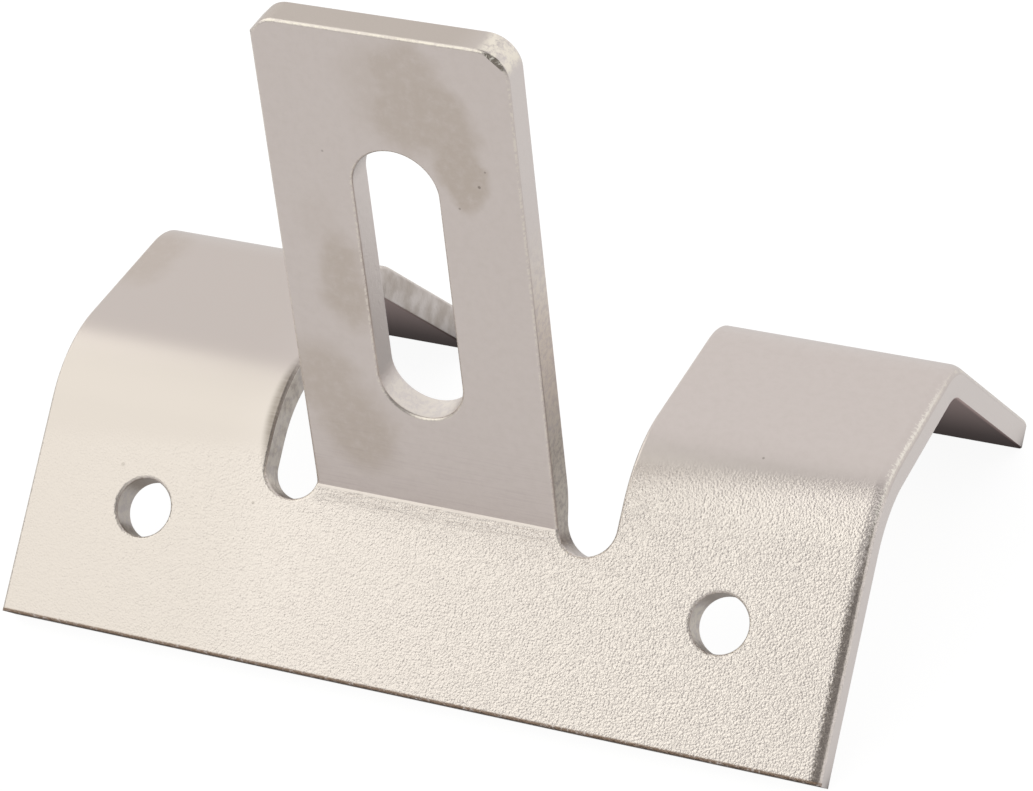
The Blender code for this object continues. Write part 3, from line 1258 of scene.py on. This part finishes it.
ground, ground_shader, place = new_material("ground_stainless")
along_stroke = add(
    ground,
    "ShaderNodeMapping",
    Vector=place,
    Rotation=(0.0, 0.0, STROKE_TURN),
    Scale=SCRATCHES_PER_MM,
).outputs["Vector"]
scratches = add(
    ground, "ShaderNodeTexNoise", Vector=along_stroke, Scale=1.0, Detail=4.0, Roughness=0.7
)
scored = add(
    ground,
    "ShaderNodeBump",
    Strength=1.0,
    Distance=SCRATCH_HEIGHT,
    Height=scratches.outputs["Fac"],
)
glints = add(
    ground, "ShaderNodeTexNoise", Vector=place, Scale=GLINTS_PER_MM, Detail=3.0, Roughness=0.7
)
painted_glints = add(
    ground,
    "ShaderNodeMix",
    {"data_type": "RGBA"},
    _0=mask(ground, (glints.outputs["Fac"], 0.50, 0.68)),
    _6=GROUND,
    _7=PAINTED_GLINT,
)
ground_shader.inputs["Metallic"].default_value = 1.0
ground_shader.inputs["Roughness"].default_value = GROUND_ROUGHNESS
ground.node_tree.links.new(painted_glints.outputs[2], ground_shader.inputs["Base Color"])
ground.node_tree.links.new(scored.outputs["Normal"], ground_shader.inputs["Normal"])

for finish in (skin, wall, ground):
    hook.data.materials.append(finish)
print("finishes:", [finish.name for finish in hook.data.materials])

# %% [markdown]
# ## Floor, light and camera
#
# The hook stands on a plain pale floor, far wider than the picture, so that no edge shows.

# %% The floor
PAPER = linear("#F2F1F0")
PAPER_ROUGHNESS = 0.9
FLOOR_SIZE = 3.0

bpy.ops.mesh.primitive_plane_add(size=FLOOR_SIZE, location=(0.0, 0.0, 0.0))
floor = bpy.context.object
floor.name = "pale_floor"
paper = bpy.data.materials.new("pale_paper")
paper.use_nodes = True
paper_shader = paper.node_tree.nodes["Principled BSDF"]
paper_shader.inputs["Base Color"].default_value = PAPER
paper_shader.inputs["Roughness"].default_value = PAPER_ROUGHNESS
floor.data.materials.append(paper)
print("floor:", FLOOR_SIZE, "m wide")

# %% [markdown]
# The camera and glossy reflections see the floor a little lighter than its own colour, so that
# it ends in white, and the hook's soft shadow stays. The steel mirrors the floor under it as
# darker the closer it is to the hook's lower edges, as in any narrow wedge, and this gives the
# inner faces their shading.

# %% How the floor is seen and mirrored
WHITENESS = 0.85
GLOW_SEEN = 1.1
GLOW_OPEN = 0.90
GLOW_UNDER = 0.52
GLOW_AT_EDGE = 0.14
OPEN_X = (high[0], 1.03 * high[0])
OPEN_Y = (high[1], 1.08 * high[1])
WEDGE_Y = (0.60 * high[1], 0.98 * high[1])

floor_place = add(paper, "ShaderNodeTexCoord").outputs["Object"]
floor_axes = add(paper, "ShaderNodeSeparateXYZ", Vector=floor_place).outputs
from_middle_x, from_middle_y = [
    add(paper, "ShaderNodeMath", {"operation": "ABSOLUTE"}, _0=axis).outputs[0]
    for axis in (floor_axes["X"], floor_axes["Y"])
]
clear_of_hook = add(
    paper,
    "ShaderNodeMath",
    {"operation": "MAXIMUM"},
    _0=mask(paper, (from_middle_x, *OPEN_X)),
    _1=mask(paper, (from_middle_y, *OPEN_Y)),
)
under_hook = add(
    paper,
    "ShaderNodeMath",
    {"operation": "MULTIPLY_ADD"},
    _0=mask(paper, (from_middle_y, *WEDGE_Y)),
    _1=GLOW_AT_EDGE - GLOW_UNDER,
    _2=GLOW_UNDER,
)
mirrored = add(
    paper,
    "ShaderNodeMix",
    {"data_type": "FLOAT"},
    _0=clear_of_hook.outputs[0],
    _2=under_hook.outputs[0],
    _3=GLOW_OPEN,
)

rays = add(paper, "ShaderNodeLightPath").outputs
seen = add(
    paper,
    "ShaderNodeMath",
    {"operation": "MAXIMUM"},
    _0=rays["Is Camera Ray"],
    _1=rays["Is Transmission Ray"],
).outputs[0]
strength = add(
    paper,
    "ShaderNodeMath",
    {"operation": "MAXIMUM"},
    _0=mask(paper, seen, GLOW_SEEN),
    _1=mirrored.outputs[0],
)
whitened = add(
    paper,
    "ShaderNodeMath",
    {"operation": "MAXIMUM"},
    _0=seen,
    _1=rays["Is Glossy Ray"],
)
glow = add(paper, "ShaderNodeEmission", Color=WHITE, Strength=strength.outputs[0])
blended = add(
    paper,
    "ShaderNodeMixShader",
    _0=mask(paper, whitened.outputs[0], WHITENESS),
    _1=paper_shader.outputs["BSDF"],
    _2=glow.outputs["Emission"],
)
paper.node_tree.links.new(
    blended.outputs["Shader"], paper.node_tree.nodes["Material Output"].inputs["Surface"]
)
print("floor as mirrored, in the open and under the hook:", GLOW_OPEN, GLOW_UNDER)

# %% [markdown]
# Steel shows what it mirrors more than what falls on it, so the light is drawn as what it has
# to mirror: a plain room that is dim in front and bright behind, which the tab, the tops and
# the cut walls pick up, and one large soft box high on the left and in front, whose glow fills
# the flange and ends along the shoulders. Its edges are given as shares of its distance.

# %% The light
ROOM_IN_FRONT = 0.35
ROOM_BEHIND = 0.97
ROOM_TURNS = (-0.02, 0.45)
KEY_WAY = Vector((-0.62, -0.45, 0.62)).normalized()
KEY_ACROSS = Vector((-0.790, -0.532, -0.305))
KEY_DISTANCE = 0.8
KEY_EDGES = (-0.74, 0.50, -1.00, 0.90)
KEY_RADIANCE = 1.11
KEY_COLOUR = (1.0, 1.03, 0.965)

room = bpy.data.worlds.new("studio")
bpy.context.scene.world = room
room.use_nodes = True
way = add(room, "ShaderNodeTexCoord").outputs["Generated"]
backwards = add(room, "ShaderNodeSeparateXYZ", Vector=way).outputs["Y"]
brightness = add(
    room,
    "ShaderNodeMath",
    {"operation": "MULTIPLY_ADD"},
    _0=mask(room, (backwards, *ROOM_TURNS)),
    _1=ROOM_BEHIND - ROOM_IN_FRONT,
    _2=ROOM_IN_FRONT,
)
ambient = room.node_tree.nodes["Background"]
ambient.inputs["Color"].default_value = WHITE
room.node_tree.links.new(brightness.outputs[0], ambient.inputs["Strength"])

wide = (KEY_ACROSS - KEY_ACROSS.dot(KEY_WAY) * KEY_WAY).normalized()
tall = KEY_WAY.cross(wide)
left, right, near, far = (KEY_DISTANCE * edge for edge in KEY_EDGES)
centre = Vector((0.0, 0.0, (low[2] + high[2]) / 2)) + KEY_DISTANCE * KEY_WAY
bpy.ops.object.light_add(type="AREA", location=(0.0, 0.0, 0.0))
key_light = bpy.context.object
key_light.name = "key_light"
key_light.matrix_world = Matrix((wide, tall, KEY_WAY)).transposed().to_4x4()
key_light.location = centre + (left + right) / 2 * wide + (near + far) / 2 * tall
key_light.data.shape = "RECTANGLE"
key_light.data.size = right - left
key_light.data.size_y = far - near
key_light.data.energy = KEY_RADIANCE * math.pi * (right - left) * (far - near)
key_light.data.color = KEY_COLOUR
print(f"key light: {right - left:.2f} x {far - near:.2f} m, {key_light.data.energy:.2f} W")

# %% [markdown]
# The camera stands half a metre off, in front and to the right of the hook and a little above
# it. A long lens keeps the hook's lines nearly parallel, as in a picture for a parts catalogue.

# %% The camera
CAMERA_PLACE = (0.182629, -0.369801, 0.293137)
CAMERA_TURN = (56.3887, 4.0252, 23.5677)
CAMERA_LENS = 142.7673
CAMERA_SENSOR = 36.0

bpy.ops.object.camera_add(
    location=CAMERA_PLACE, rotation=[math.radians(angle) for angle in CAMERA_TURN]
)
camera = bpy.context.object
camera.data.lens = CAMERA_LENS
camera.data.sensor_width = CAMERA_SENSOR
camera.data.clip_start = 0.01
bpy.context.scene.camera = camera
bpy.context.scene.view_settings.view_transform = "Standard"
print(f"camera: {camera.location.length:.3f} m from the origin")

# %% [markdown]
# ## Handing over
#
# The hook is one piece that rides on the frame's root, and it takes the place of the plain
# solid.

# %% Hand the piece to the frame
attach(hook, "root")
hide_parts(NODE)
